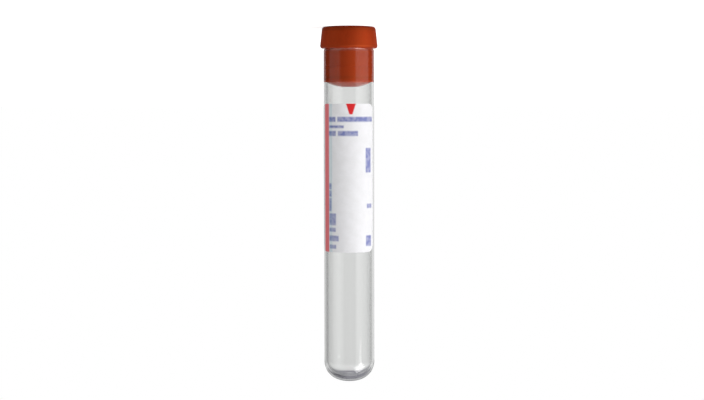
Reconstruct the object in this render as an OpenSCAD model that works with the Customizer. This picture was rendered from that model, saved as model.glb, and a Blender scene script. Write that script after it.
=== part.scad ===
// Blood collection tube: a round-ended glass tube closed by one moulded rubber stopper,
// with a paper label round its front.
//
// Frame: the tube stands on the flat top of its stopper. The origin is the centre of that
// face, +Z runs along the tube to its round end, and the printed front faces -Y.

/* [Glass tube] */
// Outside diameter of the glass
tube_d = 15.6; // [14:0.1:18]
// Thickness of the glass along the side
tube_wall = 1; // [1:0.05:1.4]
// Length from the rim to the tip of the round end
tube_len = 103.1; // [95:0.1:130]
// Thickness of the glass in the middle of the round end
end_wall = 1.3; // [1:0.05:2]
// How much the radius of the round end's flat crown exceeds the tube's own radius
end_crown_over = 8; // [3:0.5:20]
// How much the radius of the corner round the crown falls short of the tube's own radius
end_corner_under = 1.75; // [0.5:0.05:2.5]
// Radius of the melted edge on the outside of the rim
rim_round_out = 0.65; // [0.2:0.05:0.7]
// Radius of the melted edge on the inside of the rim
rim_round_in = 0.25; // [0.1:0.05:0.25]

/* [Stopper head] */
// Height of the head, from its top face to the rim of the glass
head_h = 6.7; // [5:0.1:10]
// How far the corner of the head's underside reaches past the glass
head_overhang = 1.15; // [0.8:0.05:2]
// Slope of the head's side, in degrees, narrower towards its top face
head_slope = 6.3; // [0:0.1:10]
// Radius of the edge round the head's top face
head_round_top = 0.9; // [0.3:0.05:1.1]
// Radius of the edge round the head's underside
head_round_low = 0.9; // [0.4:0.05:1]
// Diameter of the needle well in the top face
well_d = 8; // [6:0.1:9]
// Depth of the needle well
well_depth = 3.4; // [2:0.1:4]
// Radius of the edges at the mouth and the floor of the well
well_round = 0.5; // [0.2:0.05:0.8]

/* [Stopper plug] */
// Gap between the sealing bands and the inside of the glass
plug_clearance = 0.03; // [0.01:0.01:0.1]
// Length of the plug, from the rim of the glass to the tip of its domed end
plug_len = 12; // [11:0.1:14]
// Length of the plug that seals against the glass
seal_len = 10.2; // [7:0.1:10.5]
// Distance from the rim of the glass to the middle of the groove between the bands
groove_drop = 5.5; // [4:0.1:6]
// Radius of the round groove between the bands
groove_r = 0.6; // [0.3:0.05:0.8]
// Depth of that groove
groove_depth = 0.15; // [0.05:0.01:0.25]
// Slope of the shoulder past the bands, in degrees from the axis
shoulder_slope = 8; // [5:1:40]
// Radius of the curve across the domed end
dome_r = 15; // [11:0.1:20]
// Diameter of the hollow in the end of the plug
hollow_d = 6; // [4:0.1:7]
// Depth of the hollow, from the tip of the dome
hollow_depth = 9; // [6:0.1:10]
// Radius of the edge round the roof of the hollow
hollow_round = 1.2; // [0.3:0.1:1.5]

/* [Label] */
// Thickness of the paper
label_t = 0.1; // [0.06:0.01:0.2]
// Thickness of the glue between the paper and the glass
glue_t = 0.02; // [0.01:0.01:0.05]
// Distance from the rim of the glass to the upper edge of the label
label_drop = 16.9; // [15:0.1:20]
// Height of the label along the tube
label_h = 45.4; // [30:0.1:60]
// Angle from the front of the tube to the red-striped edge
label_to_striped_edge = 78; // [50:1:110]
// Angle from the front of the tube to the plain edge
label_to_plain_edge = 66; // [50:1:110]
// Radius of the label's corners
label_corner = 2.3; // [1:0.1:4]

/* [Hidden] */

$fn = 96;

tube_r = tube_d / 2;
bore_r = tube_r - tube_wall;
rim_z = head_h;

head_low_r = tube_r + head_overhang;
head_top_r = head_low_r - head_h * tan(head_slope);
well_r = well_d / 2;

band_r = bore_r - plug_clearance;
plug_end_z = rim_z + plug_len;
hollow_r = hollow_d / 2;

label_inner_r = tube_r + glue_t;
label_outer_r = label_inner_r + label_t;
label_near_z = rim_z + label_drop;
corner_angle = label_corner / label_outer_r * 180 / PI;
// how far the circle of a label corner runs past the label's end, so that the two cross
corner_cross = 0.01;
corner_inset = label_corner - corner_cross;

// how far cutting shapes run past what they cut
past = 1;

// The waste left outside a rounded corner of this radius, when the corner itself is at the
// origin and the solid lies towards +X and +Y
module corner_waste(r) {
    difference() {
        translate([-past, -past])
            square(r + past);
        translate([r, r])
            circle(r);
    }
}

// Half outline of a round cavity that runs from the origin along +Y, with a rounded floor
module cavity_outline(r, depth, floor_round) {
    translate([0, -past])
        square([r, depth - floor_round + past]);
    square([r - floor_round, depth]);
    translate([r - floor_round, depth - floor_round])
        circle(floor_round);
}

// Half outline of the tapered head. Each rounded edge is a circle that touches the sloping
// side and the flat face beside it
module head_outline() {
    top_x = head_top_r - head_round_top * (1 - sin(head_slope)) / cos(head_slope);
    low_x = head_low_r - head_round_low * (1 + sin(head_slope)) / cos(head_slope);
    low_y = head_h - head_round_low;
    polygon([
        [0, 0],
        [top_x, 0],
        [top_x + head_round_top * cos(head_slope), head_round_top * (1 - sin(head_slope))],
        [low_x + head_round_low * cos(head_slope), low_y - head_round_low * sin(head_slope)],
        [low_x, head_h],
        [0, head_h],
    ]);
    translate([top_x, head_round_top])
        circle(head_round_top);
    translate([low_x, low_y])
        circle(head_round_low);
}

// Half outline of the plug from the rim of the glass down: two sealing bands with a groove
// between them, then a sloping shoulder, all ended by one large circle
module plug_outline() {
    shoulder_h = plug_len - seal_len;
    intersection() {
        difference() {
            polygon([
                [0, -past],
                [band_r, -past],
                [band_r, seal_len],
                [band_r - shoulder_h * tan(shoulder_slope), plug_len],
                [0, plug_len],
            ]);
            translate([band_r + groove_r - groove_depth, groove_drop])
                circle(groove_r);
        }
        translate([0, plug_len - dome_r])
            circle(dome_r);
    }
}

// The rubber stopper, moulded in one piece: head, needle well, plug and hollow
module stopper() {
    color("firebrick")
        rotate_extrude()
            difference() {
                union() {
                    head_outline();
                    translate([0, rim_z])
                        plug_outline();
                }
                cavity_outline(well_r, well_depth, well_round);
                translate([well_r, 0])
                    corner_waste(well_round);
                translate([0, plug_end_z])
                    mirror([0, 1])
                        cavity_outline(hollow_r, hollow_depth, hollow_round);
            }
}

// Half outline of a straight shape from a start height to the tip of its round end. The end is
// a flat crown with a rounder corner, two circles that touch on the line through their centres
module round_ended_outline(r, len, start) {
    crown_r = r + end_crown_over;
    corner_r = r - end_corner_under;
    crown_y = len - crown_r;
    rise = sqrt(pow(crown_r - corner_r, 2) - pow(end_corner_under, 2));
    corner_y = crown_y + rise;
    reach = (crown_r + past) / (crown_r - corner_r);
    translate([0, start])
        square([r, corner_y - start]);
    intersection() {
        translate([end_corner_under, corner_y])
            circle(corner_r);
        translate([0, corner_y])
            square(r);
    }
    intersection() {
        translate([0, crown_y])
            circle(crown_r);
        polygon([
            [0, crown_y],
            [end_corner_under * reach, crown_y + rise * reach],
            [0, len + past],
        ]);
    }
}

// The glass tube: a straight wall, a round end and a melted rim
module tube() {
    color("lightcyan", 0.4)
        translate([0, 0, rim_z])
            rotate_extrude()
                difference() {
                    round_ended_outline(tube_r, tube_len, 0);
                    round_ended_outline(bore_r, tube_len - end_wall, -past);
                    translate([bore_r, 0])
                        corner_waste(rim_round_in);
                    translate([tube_r, 0])
                        mirror([1, 0])
                            corner_waste(rim_round_out);
                }
}

// The waste outside one rounded corner of the paper, in front of the origin. The corner
// points towards +X and +Z when it isn't turned, and each turn of 90 takes it to the next
module label_corner_waste(turn) {
    rotate([0, turn, 0])
        difference() {
            translate([0, -label_outer_r - past, 0])
                cube([label_corner + past, label_outer_r + past, label_corner + past]);
            rotate([90, 0, 0])
                cylinder(h = label_outer_r + 2 * past, r = label_corner);
        }
}

// The paper label round the glass, with its four corners rounded. Angles are counted from
// the front towards +X
module label() {
    color("white")
        translate([0, 0, label_near_z])
            difference() {
                rotate([0, 0, -90 - label_to_plain_edge])
                    rotate_extrude(angle = label_to_plain_edge + label_to_striped_edge)
                        translate([label_inner_r, 0])
                            square([label_t, label_h]);
                for (corner = [
                    [label_to_striped_edge - corner_angle, label_h - corner_inset, 0],
                    [label_to_striped_edge - corner_angle, corner_inset, 90],
                    [corner_angle - label_to_plain_edge, corner_inset, 180],
                    [corner_angle - label_to_plain_edge, label_h - corner_inset, 270],
                ])
                    translate([0, 0, corner[1]])
                        rotate([0, 0, corner[0]])
                            label_corner_waste(corner[2]);
            }
}

stopper();
tube();
label();
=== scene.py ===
import math

import bmesh
import bpy
from mathutils import Matrix, Quaternion, Vector


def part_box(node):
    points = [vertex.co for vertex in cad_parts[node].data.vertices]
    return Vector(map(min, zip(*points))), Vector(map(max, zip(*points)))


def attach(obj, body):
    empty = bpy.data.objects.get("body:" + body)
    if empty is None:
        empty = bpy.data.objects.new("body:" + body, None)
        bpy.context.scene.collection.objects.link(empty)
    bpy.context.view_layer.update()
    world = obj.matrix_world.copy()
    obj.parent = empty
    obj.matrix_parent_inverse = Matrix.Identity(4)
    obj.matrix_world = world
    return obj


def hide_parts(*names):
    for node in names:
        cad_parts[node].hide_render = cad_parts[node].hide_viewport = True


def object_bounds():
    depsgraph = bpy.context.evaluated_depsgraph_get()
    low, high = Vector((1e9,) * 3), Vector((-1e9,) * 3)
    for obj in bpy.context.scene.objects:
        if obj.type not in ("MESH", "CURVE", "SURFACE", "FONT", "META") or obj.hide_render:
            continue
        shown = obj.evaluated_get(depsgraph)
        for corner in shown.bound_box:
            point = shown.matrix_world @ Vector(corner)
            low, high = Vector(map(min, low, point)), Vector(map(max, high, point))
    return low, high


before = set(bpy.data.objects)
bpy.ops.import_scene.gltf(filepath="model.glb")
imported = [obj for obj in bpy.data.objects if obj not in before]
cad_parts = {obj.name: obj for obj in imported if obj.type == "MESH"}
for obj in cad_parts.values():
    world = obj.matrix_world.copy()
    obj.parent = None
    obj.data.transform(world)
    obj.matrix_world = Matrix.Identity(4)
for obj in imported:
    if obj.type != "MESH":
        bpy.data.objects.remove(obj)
cad_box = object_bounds()

# A blood collection tube: a round-ended glass tube, a rubber stopper in its mouth and a paper label
# round its front. It stands on the flat top of the stopper, and the printed side faces -Y.

MM = 0.001

# Sizes read from the parts in model.glb, in millimetres. The stopper's flat top stands at height 0
stopper_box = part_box("stopper")
tube_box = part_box("tube")
label_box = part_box("label")
GLASS_R = tube_box[1].x / MM
RIM_Z = tube_box[0].z / MM
TUBE_END = tube_box[1].z / MM
LABEL_LOW = label_box[0].z / MM
LABEL_HIGH = label_box[1].z / MM
MOUTH_Z = stopper_box[1].z / MM  # the mouth of the hollow in the plug's domed end

# Glass tube
WALL = 1.0
END_WALL = 1.3
RIM_ROUND_OUT = 0.65
RIM_ROUND_IN = 0.25
RIM_REACH = 4.0  # how far the rim's outline reaches along the wall
BORE_R = GLASS_R - WALL
CROWN_OVER = 8.0  # how much wider the round end's flat crown curves than the tube
CORNER_UNDER = 1.75  # how much tighter the corner round it curves

# Rubber stopper
HEAD_OVERHANG = 1.15
HEAD_SLOPE = 6.3  # degrees
HEAD_LOW_R = GLASS_R + HEAD_OVERHANG
HEAD_TOP_R = HEAD_LOW_R - RIM_Z * math.tan(math.radians(HEAD_SLOPE))
HEAD_ROUND = 0.9
WELL_R = 4.0
WELL_DEPTH = 3.4
WELL_ROUND = 0.5
WELL_FLOOR_ROUND = 0.3
NECK_R = BORE_R - 0.15
NECK_ROUND = 0.1
SEAL_R = BORE_R + 0.07  # pressed a little into the glass, so that no air lies between them
SEAL_START = RIM_Z + 0.8
SEAL_END = RIM_Z + 10.2
SEAL_ROUND = 0.4
GROOVE_Z = RIM_Z + 5.5
GROOVE_HALF = 0.4
GROOVE_DEPTH = 0.06
GROOVE_ROUND = 0.3
BAND_ROUND = 0.12
LIP_R = BORE_R - 0.04
LIP_Z = SEAL_END + 0.1
LIP_ROUND = 0.05
SHOULDER_SLOPE = 8.0  # degrees
DOME_R = 15.0
HOLLOW_R = 3.0
DOME_END_R = HOLLOW_R + 0.3  # the round mouth of the hollow takes the rest
HOLLOW_ROOF = RIM_Z + 3.0
HOLLOW_ROUND = 1.2
MOUTH_ROUND = 0.2

# Paper label. Its upright edges are in degrees round the tube from the front, + towards -X
STRIPED_EDGE = -78.0
PLAIN_EDGE = 66.0
LABEL_CORNER = 2.3
GLUE = 0.02
PAPER = 0.1
LABEL_BACK_R = GLASS_R + GLUE
LABEL_FACE_R = LABEL_BACK_R + PAPER

# Fineness of the meshes
TURNS = 192
LABEL_COLUMNS = 72
LABEL_CORNER_COLUMNS = 12
LABEL_ROWS = 24

WHITE = (1, 1, 1, 1)


# ---------------------------------------------------------------- shading


class Wire:
    """One output of a material's nodes. Arithmetic on it adds Math nodes to the same tree."""

    def __init__(self, tree, socket=None):
        self.tree = tree
        self.socket = socket

    def node(self, kind, settings=None, sockets=None, output=0):
        """Adds a node, sets it up, feeds its sockets with values or wires and gives one output."""
        made = self.tree.nodes.new("ShaderNode" + kind)
        for name, value in (settings or {}).items():
            setattr(made, name, value)
        for name, value in (sockets or {}).items():
            if isinstance(value, Wire):
                self.tree.links.new(value.socket, made.inputs[name])
            else:
                made.inputs[name].default_value = value
        return Wire(self.tree, made.outputs[output] if made.outputs else None)

    def math(self, operation, *terms):
        return self.node("Math", {"operation": operation}, dict(enumerate((self, *terms))))

    def __add__(self, other):
        return self.math("ADD", other)

    __radd__ = __add__

    def __mul__(self, other):
        return self.math("MULTIPLY", other)

    __rmul__ = __mul__

    def __sub__(self, other):
        return self.math("SUBTRACT", other)

    def __rsub__(self, other):
        return self * -1 + other

    def either(self, other):
        return self.math("MAXIMUM", other)

    def parts(self):
        """Its x, y and z."""
        return [self.node("SeparateXYZ", None, {"Vector": self}, output=axis) for axis in "XYZ"]

    def rise(self, start, end):
        """0 at start, 1 at end and a soft slope between them."""
        values = {"Value": self, "From Min": start, "From Max": end}
        return self.node("MapRange", {"interpolation_type": "SMOOTHSTEP"}, values)

    def band(self, start, full, fade, end):
        """0 at start, 1 from full to fade and 0 again at end."""
        return self.rise(start, full) * (1 - self.rise(fade, end))

    def within(self, first, last, soft):
        """1 from first to last, with edges as soft as this."""
        return self.band(first - soft, first + soft, last - soft, last + soft)

    def tint(self, first, second):
        """The first colour where this is 0 and the second where it is 1."""
        return self.node("Mix", {"data_type": "RGBA"}, {0: self, 6: first, 7: second}, output=2)

    def grain(self, scale, detail=2.0, stretch=(1, 1, 1)):
        """Noise from 0 to 1 over this place, at so many cells a millimetre."""
        drawn = self.node("VectorMath", {"operation": "MULTIPLY"}, {0: self, 1: stretch})
        return self.node("TexNoise", None, {"Vector": drawn, "Scale": scale, "Detail": detail})

    def bump(self, strength):
        """A normal from this height in millimetres."""
        return self.node("Bump", None, {"Height": self, "Strength": strength, "Distance": MM})

    def for_rays(self, kind, shader):
        """This shader, with another one in its place for one kind of ray."""
        chosen = self.node("LightPath", output=kind)
        return self.node("MixShader", None, {0: chosen, 1: self, 2: shader})


def new_finish(name):
    """An empty material and a wire to build its nodes from."""
    material = bpy.data.materials.new(name)
    material.use_nodes = True
    material.node_tree.nodes.clear()
    return material, Wire(material.node_tree)


def spot_on(wire):
    """Where a point of the piece is, in millimetres."""
    metres = wire.node("TexCoord", output="Object")
    return metres.node("VectorMath", {"operation": "SCALE"}, {"Vector": metres, "Scale": 1 / MM})


RUBBER_DEEP = (0.235, 0.010, 0.0004, 1)
RUBBER = (0.275, 0.012, 0.0005, 1)
RUBBER_PAINTED_SHADE = (0.05, 0.002, 0.0002, 1)
RUBBER_PAINTED_HIGHLIGHT = (0.56, 0.16, 0.12, 1)
RUBBER_GLOSS = (1.0, 0.19, 0.05, 1)

# Painted shade on the rubber: how much darker, and the heights where that starts, is full, fades and ends
PAINTED_SHADE_BANDS = [
    (0.18, RIM_Z, RIM_Z + 0.5, SEAL_END - 0.5, SEAL_END),  # the plug
    (0.4, 0.3, 0.7, 1.1, 1.6),  # painted shade on the edge round the flat top
    (0.3, RIM_Z + 8.2, RIM_Z + 8.7, RIM_Z + 8.9, RIM_Z + 9.6),  # a ring near the plug's end
    (0.35, RIM_Z - 1.3, RIM_Z - 0.4, RIM_Z - 0.2, RIM_Z),  # painted shade on the edge round the head's underside
]

# Where it is smooth, with a painted highlight on the neck at the rim of the glass and a painted reflection
# on the plug's domed end
NECK = (RIM_Z - 0.2, RIM_Z, SEAL_START - 0.1, SEAL_START + 0.2)
DOME_START = (SEAL_END - 0.6, SEAL_END + 0.9)
NECK_PAINTED_HIGHLIGHT = 0.08
DOME_PAINTED_REFLECTION = 0.38


def rubber_finish():
    """Red-brown moulded rubber: matt on the head, smoother at both ends of the plug."""
    material, wire = new_finish("stopper_rubber")
    spot = spot_on(wire)
    height = spot.parts()[2]
    cloud = spot.grain(0.25, 3.0)
    speck = spot.grain(3.0, 4.0)
    pores = spot.grain(9.0, 2.0)
    mottle = (cloud * 0.6 + speck * 0.4).rise(0.3, 0.7)
    rubber = mottle.tint(RUBBER_DEEP, RUBBER)
    # painted shade: the rubber darkened in the bands listed above
    shade = sum(height.band(*heights) * depth for depth, *heights in PAINTED_SHADE_BANDS)
    shaded = shade.tint(rubber, RUBBER_PAINTED_SHADE)
    neck = height.band(*NECK)
    dome = height.rise(*DOME_START)
    # painted highlight on the neck and painted reflection on the domed end, patchy with the specks
    painted_highlight = (neck * NECK_PAINTED_HIGHLIGHT + dome * DOME_PAINTED_REFLECTION) * (speck * 0.5 + 0.7)
    relief = pores * 0.02 + speck * 0.03
    shader = wire.node(
        "BsdfPrincipled",
        None,
        {
            "Base Color": painted_highlight.tint(shaded, RUBBER_PAINTED_HIGHLIGHT),
            "Roughness": 0.56 + speck * 0.12,
            "IOR": 2.2,
            "Specular IOR Level": 1.0,
            "Specular Tint": RUBBER_GLOSS,
            "Coat Weight": neck.either(dome),
            "Coat Roughness": 0.15,
            "Coat IOR": 1.5,
            "Normal": relief.bump(0.5),
        },
    )
    wire.node("OutputMaterial", None, {"Surface": shader})
    return material


def glass_finish():
    """Clear, faintly grey tube glass. Lamps and bounced light pass straight through its walls."""
    material, wire = new_finish("tube_glass")
    draw_lines = spot_on(wire).grain(0.5, 1.0, stretch=(1, 1, 0.04))
    glass = wire.node(
        "BsdfPrincipled",
        None,
        {
            "Base Color": (0.985, 0.99, 0.985, 1),
            "Roughness": 0.01 + draw_lines * 0.02,
            "IOR": 1.5,
            "Transmission Weight": 1.0,
            "Normal": (draw_lines * 0.01).bump(0.3),
        },
    )
    clear = wire.node("BsdfTransparent", None, {"Color": (0.96, 0.97, 0.965, 1)})
    surface = glass.for_rays("Is Diffuse Ray", clear).for_rays("Is Shadow Ray", clear)
    depth = wire.node("VolumeAbsorption", None, {"Color": (0.0, 0.02, 0.01, 1), "Density": 40.0})
    wire.node("OutputMaterial", None, {"Surface": surface, "Volume": depth})
    return material


# Printing on the label, in millimetres: across from the front towards the plain edge, and down
# from the edge beside the stopper. Each bar is (left, right, top, bottom)
BLUE_WORDS = [
    (-6.9, -4.3, 4.0, 5.5),
    (-3.7, 8.6, 4.0, 5.5),
    (-6.9, -1.6, 6.6, 7.4),
    (-6.9, -4.2, 8.3, 9.8),
    (-3.5, 2.8, 8.3, 9.8),
]
FAINT_WORDS = [
    (-6.9, -5.9, 24.3, 26.1),
    (-6.9, -5.9, 26.5, 28.4),
    (-6.9, -5.9, 28.8, 32.8),
    (-6.8, -4.2, 33.5, 37.1),
    (-6.8, -4.3, 37.9, 39.1),
    (-6.8, -3.3, 40.3, 42.0),
    (-6.7, -4.2, 43.1, 44.3),
]
PALE_WORDS = [
    (5.5, 7.8, 13.5, 21.0),
    (6.0, 8.2, 30.6, 31.9),
    (5.6, 8.0, 40.3, 43.6),
]
BAR_BLUR_ACROSS = 0.25
BAR_BLUR_DOWN = 0.3
STRIPE = (-9.35, -7.0)
STRIPE_BLUR = 0.15
FADED_STRIP = (-7.0, -5.6)
FADED_BLUR = 0.2
TRIANGLE_MIDDLE = 0.6
TRIANGLE_TOP = 1.5  # half its width at the label's edge
TRIANGLE_TIP = 0.45  # and at its blunt tip
TRIANGLE_LENGTH = 3.25
TRIANGLE_SIDE = (-0.25, 0.2)
TIP_BLUR = 0.2

PAPER_GREY = (0.80, 0.80, 0.81, 1)
PAPER_WHITE = (0.86, 0.86, 0.88, 1)
FADED_BLUE = (0.50, 0.68, 0.75, 1)
INK_BLUE = (0.035, 0.07, 0.38, 1)
INK_VIOLET = (0.08, 0.11, 0.42, 1)
INK_RED = (0.72, 0.002, 0.006, 1)
STRIPE_RED = (0.80, 0.17, 0.19, 1)
FAINT_INK = 0.85
FADED_INK = 0.5


def bars(across, down, places):
    """1 on the printed bars and 0 between them."""
    ink = None
    for left, right, top, bottom in places:
        bar = across.within(left, right, BAR_BLUR_ACROSS) * down.within(top, bottom, BAR_BLUR_DOWN)
        ink = bar if ink is None else ink.either(bar)
    return ink


def red_triangle(across, down):
    """1 on the triangle, which starts at the label's edge beside the stopper and points away from it."""
    side = (across - TRIANGLE_MIDDLE).math("ABSOLUTE")
    reach = down * ((TRIANGLE_TIP - TRIANGLE_TOP) / TRIANGLE_LENGTH) + TRIANGLE_TOP
    past_tip = down.rise(TRIANGLE_LENGTH - TIP_BLUR, TRIANGLE_LENGTH + TIP_BLUR)
    return (reach - side).rise(*TRIANGLE_SIDE) * (1 - past_tip)


def paper_sheet(spot):
    """The bare paper's colour and its fibres."""
    fibre = spot.grain(4.0, 4.0)
    mottle = spot.grain(0.4, 2.0)
    shade = (fibre * 0.5 + mottle * 0.5).rise(0.3, 0.7)
    return shade.tint(PAPER_GREY, PAPER_WHITE), fibre


def label_face_finish():
    """Coated white paper with a red stripe, a red triangle and plain bars of blue."""
    material, wire = new_finish("label_face")
    spot = spot_on(wire)
    paper, fibre = paper_sheet(spot)
    x, y, height = spot.parts()
    across = (x * -1).math("ARCTAN2", y * -1) * LABEL_FACE_R
    down = height - LABEL_LOW
    patchy = spot.grain(0.9, 2.0).rise(0.35, 0.65) * 0.22 + 0.6
    words = (bars(across, down, BLUE_WORDS) + bars(across, down, FAINT_WORDS) * FAINT_INK) * patchy
    pale_words = bars(across, down, PALE_WORDS) * patchy
    printed = (across.within(*FADED_STRIP, FADED_BLUR) * FADED_INK).tint(paper, FADED_BLUE)
    printed = words.tint(printed, INK_BLUE)
    printed = pale_words.tint(printed, INK_VIOLET)
    printed = red_triangle(across, down).tint(printed, INK_RED)
    printed = across.within(*STRIPE, STRIPE_BLUR).tint(printed, STRIPE_RED)
    shader = wire.node(
        "BsdfPrincipled",
        None,
        {
            "Base Color": printed,
            "Roughness": 0.42 + fibre * 0.2,
            "Specular IOR Level": 0.5,
            "Normal": (fibre * 0.01).bump(0.3),
        },
    )
    wire.node("OutputMaterial", None, {"Surface": shader})
    return material


def label_back_finish():
    """The label's uncoated back and cut edges."""
    material, wire = new_finish("label_back")
    paper, fibre = paper_sheet(spot_on(wire))
    shader = wire.node(
        "BsdfPrincipled",
        None,
        {
            "Base Color": paper,
            "Roughness": 0.75 + fibre * 0.15,
            "Normal": (fibre * 0.02).bump(0.4),
        },
    )
    wire.node("OutputMaterial", None, {"Surface": shader})
    return material


FLOOR_GREY = (0.78, 0.78, 0.78, 1)
FLOOR_PALE = (0.80, 0.80, 0.80, 1)
FLOOR_LIFT = 0.62


def floor_finish():
    """A pale matt floor. It is lifted to white where nothing shades it, and glass shows the room instead."""
    material, wire = new_finish("floor")
    colour = spot_on(wire).grain(0.02, 3.0).tint(FLOOR_GREY, FLOOR_PALE)
    sockets = {"Base Color": colour, "Roughness": 1.0, "Specular IOR Level": 0.0}
    matt = wire.node("BsdfPrincipled", None, sockets)
    lift = wire.node("Emission", None, {"Color": WHITE, "Strength": FLOOR_LIFT})
    lifted = wire.node("AddShader", None, {0: matt, 1: lift})
    clear = wire.node("BsdfTransparent")
    surface = matt.for_rays("Is Glossy Ray", clear)
    surface = surface.for_rays("Is Transmission Ray", clear)
    surface = surface.for_rays("Is Camera Ray", lifted)
    wire.node("OutputMaterial", None, {"Surface": surface})
    return material


# ---------------------------------------------------------------- shapes


def placed(name, data):
    """An object of this name and data in the scene."""
    made = bpy.data.objects.new(name, data)
    bpy.context.scene.collection.objects.link(made)
    return made


def arc(centre, radius, start, end, steps):
    """Points (r, z) on an arc, with angles in degrees from the outward direction."""
    turn = [math.radians(start + (end - start) * i / steps) for i in range(steps + 1)]
    return [(centre[0] + radius * math.cos(a), centre[1] + radius * math.sin(a)) for a in turn]


def rounded(corners, steps=6):
    """An outline through corners (r, z, round), with each corner turned by its own round."""
    line = []
    for i, (r, z, size) in enumerate(corners):
        if size == 0 or i in (0, len(corners) - 1):
            line.append((r, z))
            continue
        here = Vector((r, z))
        back = (Vector(corners[i - 1][:2]) - here).normalized()
        ahead = (Vector(corners[i + 1][:2]) - here).normalized()
        half = back.angle(ahead) / 2
        middle = here + (back + ahead).normalized() * size / math.sin(half)
        first = here + back * size / math.tan(half) - middle
        last = here + ahead * size / math.tan(half) - middle
        swing = -first.angle_signed(last)
        turns = [Matrix.Rotation(swing * k / steps, 2) for k in range(steps + 1)]
        line += [tuple(middle + turn @ first) for turn in turns]
    return line


def piece_from(name, mesh, crease):
    """A smooth-shaded object from a finished mesh, with edges over crease degrees left sharp."""
    mesh.normal_update()
    bmesh.ops.recalc_face_normals(mesh, faces=mesh.faces)
    data = bpy.data.meshes.new(name)
    mesh.to_mesh(data)
    mesh.free()
    data.shade_smooth()
    data.set_sharp_from_angle(angle=math.radians(crease))
    return placed(name, data)


def revolved(name, outline):
    """A solid turned round the tube's axis from an outline (r, z) that starts and ends on it."""
    mesh = bmesh.new()
    turn = [math.tau * i / TURNS for i in range(TURNS)]
    rings = []
    for r, z in outline[1:-1]:
        spots = [(r * MM * math.cos(a), r * MM * math.sin(a), z * MM) for a in turn]
        rings.append([mesh.verts.new(spot) for spot in spots])
    for below, above in zip(rings, rings[1:]):
        for i in range(TURNS):
            j = (i + 1) % TURNS
            mesh.faces.new((below[i], below[j], above[j], above[i]))
    for z, ring in ((outline[0][1], rings[0]), (outline[-1][1], rings[-1])):
        tip = mesh.verts.new((0, 0, z * MM))
        for i in range(TURNS):
            mesh.faces.new((tip, ring[i], ring[(i + 1) % TURNS]))
    return piece_from(name, mesh, crease=50)


def plug_dome():
    """Points (r, z) of the plug's domed end, from its sloping shoulder to the mouth of the hollow."""
    dome_z = MOUTH_Z - math.sqrt(DOME_R**2 - HOLLOW_R**2)
    # the shoulder meets the dome where its line crosses the dome's circle
    fall = math.tan(math.radians(SHOULDER_SLOPE))
    lean = 1 + fall**2
    half = (LIP_Z - dome_z) - LIP_R * fall
    rest = LIP_R**2 + (LIP_Z - dome_z) ** 2 - DOME_R**2
    down = (math.sqrt(half**2 - lean * rest) - half) / lean
    start = math.degrees(math.acos((LIP_R - down * fall) / DOME_R))
    end = math.degrees(math.acos(DOME_END_R / DOME_R))
    return arc((0, dome_z), DOME_R, start, end, steps=10)


def make_stopper():
    """The moulded stopper: head with a well for the needle, seal with a ring groove, hollow domed plug."""
    corners = [
        (0, WELL_DEPTH, 0),
        (WELL_R, WELL_DEPTH, WELL_FLOOR_ROUND),
        (WELL_R, 0, WELL_ROUND),
        (HEAD_TOP_R, 0, HEAD_ROUND),
        (HEAD_LOW_R, RIM_Z, HEAD_ROUND),
        (NECK_R, RIM_Z, NECK_ROUND),
        (SEAL_R, SEAL_START, SEAL_ROUND),
        (SEAL_R, GROOVE_Z - GROOVE_HALF, BAND_ROUND),
        (SEAL_R - GROOVE_DEPTH, GROOVE_Z, GROOVE_ROUND),
        (SEAL_R, GROOVE_Z + GROOVE_HALF, BAND_ROUND),
        (SEAL_R, SEAL_END, LIP_ROUND),
        (LIP_R, LIP_Z, LIP_ROUND),
        *[(r, z, 0) for r, z in plug_dome()],
        (HOLLOW_R, MOUTH_Z, MOUTH_ROUND),
        (HOLLOW_R, HOLLOW_ROOF, HOLLOW_ROUND),
        (0, HOLLOW_ROOF, 0),
    ]
    made = revolved("rubber_stopper", rounded(corners))
    made.data.materials.append(rubber_finish())
    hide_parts("stopper")
    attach(made, "stopper_body")


def round_end(radius, tip_z):
    """Points (r, z) of a closed end from its tip to the straight wall: a flat crown and a tighter corner."""
    crown_r = radius + CROWN_OVER
    corner_r = radius - CORNER_UNDER
    drop = math.sqrt((crown_r - corner_r) ** 2 - CORNER_UNDER**2)
    joint = math.degrees(math.atan2(drop, CORNER_UNDER))
    crown = arc((0, tip_z - crown_r), crown_r, 90, joint, steps=20)
    corner = arc((CORNER_UNDER, tip_z - crown_r + drop), corner_r, joint, 0, steps=24)
    return crown + corner[1:]


def make_tube():
    """The drawn glass tube: fire-rounded rim, straight wall and round closed end."""
    outside = round_end(GLASS_R, TUBE_END)
    inside = round_end(BORE_R, TUBE_END - END_WALL)[::-1]
    rim = [
        (GLASS_R, RIM_Z + RIM_REACH, 0),
        (GLASS_R, RIM_Z, RIM_ROUND_OUT),
        (BORE_R, RIM_Z, RIM_ROUND_IN),
        (BORE_R, RIM_Z + RIM_REACH, 0),
    ]
    made = revolved("glass_tube", outside + rounded(rim, steps=8) + inside)
    made.data.materials.append(glass_finish())
    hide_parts("tube")
    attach(made, "tube_body")


def label_columns(wide):
    """Where the label's columns of points stand along its width, closer together at its round corners."""
    quarter = [math.pi / 2 * i / LABEL_CORNER_COLUMNS for i in range(LABEL_CORNER_COLUMNS)]
    corner = [LABEL_CORNER * (1 - math.cos(a)) for a in quarter]
    straight = wide - 2 * LABEL_CORNER
    middle = [LABEL_CORNER + straight * i / LABEL_COLUMNS for i in range(LABEL_COLUMNS + 1)]
    return corner + middle + [wide - along for along in reversed(corner)]


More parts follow.
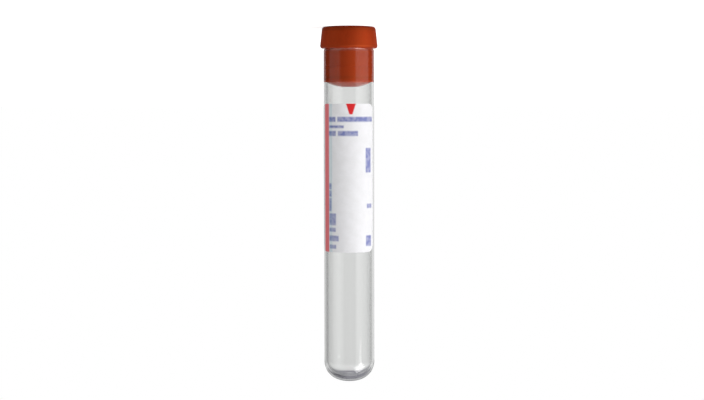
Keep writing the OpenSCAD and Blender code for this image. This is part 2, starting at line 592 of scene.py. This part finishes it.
def label_side(mesh, radius, columns):
    """The points of the label's face or back, in columns."""
    wide = columns[-1]
    side = []
    for along in columns:
        inset = LABEL_CORNER - min(along, wide - along)
        cut = LABEL_CORNER - math.sqrt(LABEL_CORNER**2 - inset**2) if inset > 0 else 0
        a = math.radians(STRIPED_EDGE) + along / LABEL_FACE_R
        low, high = LABEL_LOW + cut, LABEL_HIGH - cut
        heights = [low + (high - low) * k / LABEL_ROWS for k in range(LABEL_ROWS + 1)]
        spots = [(-radius * math.sin(a), -radius * math.cos(a), height) for height in heights]
        side.append([mesh.verts.new(Vector(spot) * MM) for spot in spots])
    return side


def make_label():
    """The paper label, wrapped on the glass, with round corners."""
    columns = label_columns(math.radians(PLAIN_EDGE - STRIPED_EDGE) * LABEL_FACE_R)
    mesh = bmesh.new()
    face = label_side(mesh, LABEL_FACE_R, columns)
    back = label_side(mesh, LABEL_BACK_R, columns)
    for side, finish in ((face, 0), (back, 1)):
        for left, right in zip(side, side[1:]):
            for k in range(LABEL_ROWS):
                sheet = mesh.faces.new((left[k], right[k], right[k + 1], left[k + 1]))
                sheet.material_index = finish
    last = len(columns) - 1
    rim = [(0, k) for k in range(LABEL_ROWS)] + [(i, LABEL_ROWS) for i in range(last)]
    rim += [(last, k) for k in range(LABEL_ROWS, 0, -1)] + [(i, 0) for i in range(last, 0, -1)]
    for (i, k), (m, n) in zip(rim, rim[1:] + rim[:1]):
        edge = mesh.faces.new((face[i][k], face[m][n], back[m][n], back[i][k]))
        edge.material_index = 1
    made = piece_from("paper_label", mesh, crease=40)
    made.data.materials.append(label_face_finish())
    made.data.materials.append(label_back_finish())
    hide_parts("label")
    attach(made, "tube_body")


# ---------------------------------------------------------------- studio


FLOOR_HALF = 6.0  # half its width, in metres

# The room round the tube, by direction, with each part of a direction from -1 to 1. Left and right
# are as the camera sees them, so right is towards -X. A level of 1 is white. A start gives where a
# part of the room begins and where it is full, and a fade where it begins to fade and is gone
ROOM_LEVEL = 0.58
LIT_SIDE = 0.42
LIT_SIDE_START = (0.5, 0.8)
BACKDROP = 0.77
BACKDROP_START = (0.85, 0.97)
BACKDROP_RIM = 0.585
BACKDROP_RIM_START = (0.58, 0.72)
BACKDROP_SLANT = 0.15
RIGHT_PANEL = 0.90
RIGHT_PANEL_START = (0.42, 0.62)
LEFT_PANEL = 0.42
LEFT_PANEL_START = (0.55, 0.75)
PANELS_FADE = (0.0, 0.3)
WALLS_DIM = 0.35  # how much darker they are overhead
FRONT = 0.03
CORNICE = 0.14
CORNICE_BAND = (0.26, 0.38, 0.06)  # from, to and how soft its edges are
CEILING = 0.26
CEILING_START = (0.375, 0.43)
CEILING_SLANT = 0.5
CEILING_COLOUR = (0.98, 0.96, 1.10, 1)
SIDE_START = (0.34, 0.46)
SIDE_SLANT = 0.15
HIGH_SIDE = 0.3
HIGH_SIDE_START = (0.3, 0.4)
FRONT_THROUGH = 0.55
FRONT_FADE = (-0.6, 0.0)
BELOW_THROUGH = 0.6
BELOW_START = (0.3, 0.5)

# The key lamp's angles in degrees, sizes in metres and power in watts
LAMP_AZIMUTH = 55
LAMP_ELEVATION = 36.6
LAMP_ROLL = 60
LAMP_DISTANCE = 0.8
LAMP_WIDE = 0.6
LAMP_TALL = 0.37
LAMP_POWER = 3.8
LAMP_COLOUR = (1.0, 0.99, 1.0)

# The camera's place and aim in metres, its lens in millimetres and its lean in degrees
EYE = (0, -0.440, 0.026)
AIM = (-0.0009, 0, 0.05337)
LENS = 72.69
SENSOR = 36
LEAN = -0.10

# How often light may turn back inside thick glass before it leaves
GLASS_BOUNCES = 24


def make_floor():
    """A plain pale floor under the stopper's flat top."""
    mesh = bmesh.new()
    bmesh.ops.create_grid(mesh, x_segments=8, y_segments=8, size=FLOOR_HALF)
    data = bpy.data.meshes.new("floor")
    mesh.to_mesh(data)
    mesh.free()
    floor = placed("floor", data)
    floor.location.z = cad_box[0].z
    data.materials.append(floor_finish())


def room_in_glass(x, y, up):
    """What glass mirrors of the room, as a level and a colour: backdrop, side panels and ceiling."""
    right = x * -1
    middle = (right.either(0) * BACKDROP_SLANT + y).rise(*BACKDROP_START)
    rim = y.rise(*BACKDROP_RIM_START) * (BACKDROP_RIM - x * BACKDROP_SLANT)
    backdrop = rim + middle * (BACKDROP - BACKDROP_RIM)
    panels = right.rise(*RIGHT_PANEL_START) * RIGHT_PANEL + x.rise(*LEFT_PANEL_START) * LEFT_PANEL
    walls = backdrop + panels * (1 - y.rise(*PANELS_FADE))
    walls = walls * (1 - up.either(0) * WALLS_DIM) + FRONT
    walls = walls + up.within(*CORNICE_BAND) * CORNICE
    side = (x.math("ABSOLUTE") - right.either(0) * SIDE_SLANT).rise(*SIDE_START)
    overhead = up.rise(*CEILING_START) * (1 - side)
    ceiling = CEILING - x.either(0) * CEILING_SLANT
    high_side = up.rise(*HIGH_SIDE_START) * side * HIGH_SIDE
    level = walls * (1 - overhead) + overhead * ceiling + high_side
    return level, overhead.tint(WHITE, CEILING_COLOUR)


def make_room():
    """Plain light from all round, with more of it on one side. Seen directly, the room is white."""
    world = bpy.data.worlds.new("room")
    bpy.context.scene.world = world
    world.use_nodes = True
    world.node_tree.nodes.clear()
    wire = Wire(world.node_tree)

    def glow(colour, level):
        return wire.node("Background", None, {"Color": colour, "Strength": level})

    x, y, up = wire.node("TexCoord", output="Generated").parts()
    level, colour = room_in_glass(x, y, up)
    front = (1 - y.rise(*FRONT_FADE)) * FRONT_THROUGH
    below = (up * -1).rise(*BELOW_START) * BELOW_THROUGH
    through = (level + front).either(below)
    surface = glow(WHITE, (x * -1).rise(*LIT_SIDE_START) * LIT_SIDE + ROOM_LEVEL)
    surface = surface.for_rays("Is Glossy Ray", glow(colour, level))
    surface = surface.for_rays("Is Transmission Ray", glow(colour, through))
    surface = surface.for_rays("Is Camera Ray", glow(WHITE, 1.0))
    wire.node("OutputWorld", None, {"Surface": surface})


def make_lamp():
    """A soft box that faces the middle of the tube. Its azimuth counts from the front, + towards -X."""
    light = bpy.data.lights.new("key", "AREA")
    light.shape = "RECTANGLE"
    light.size = LAMP_WIDE
    light.size_y = LAMP_TALL
    light.energy = LAMP_POWER
    light.color = LAMP_COLOUR
    a, e = math.radians(LAMP_AZIMUTH), math.radians(LAMP_ELEVATION)
    way = Vector((-math.sin(a) * math.cos(e), -math.cos(a) * math.cos(e), math.sin(e)))
    lamp = placed("key", light)
    lamp.location = (cad_box[0] + cad_box[1]) / 2 + way * LAMP_DISTANCE
    lamp.rotation_mode = "QUATERNION"
    roll = Quaternion((0, 0, 1), math.radians(LAMP_ROLL))
    lamp.rotation_quaternion = way.to_track_quat("Z", "Y") @ roll


def make_camera():
    """A long lens near the stopper's end, turned over, because the tube is shown with its stopper up."""
    data = bpy.data.cameras.new("camera")
    data.sensor_width = SENSOR
    data.lens = LENS
    data.clip_start = 0.01
    data.clip_end = 50
    camera = placed("camera", data)
    camera.location = EYE
    camera.rotation_mode = "QUATERNION"
    upright = (Vector(AIM) - Vector(EYE)).to_track_quat("-Z", "Y")
    turned_over = Quaternion((0, 0, 1), math.radians(180 + LEAN))
    camera.rotation_quaternion = upright @ turned_over
    bpy.context.scene.camera = camera


make_stopper()
make_tube()
make_label()
make_floor()
make_room()
make_lamp()
make_camera()

bpy.context.scene.view_settings.view_transform = "Standard"
for limit in ("max_bounces", "glossy_bounces", "transmission_bounces"):
    setattr(bpy.context.scene.cycles, limit, GLASS_BOUNCES)
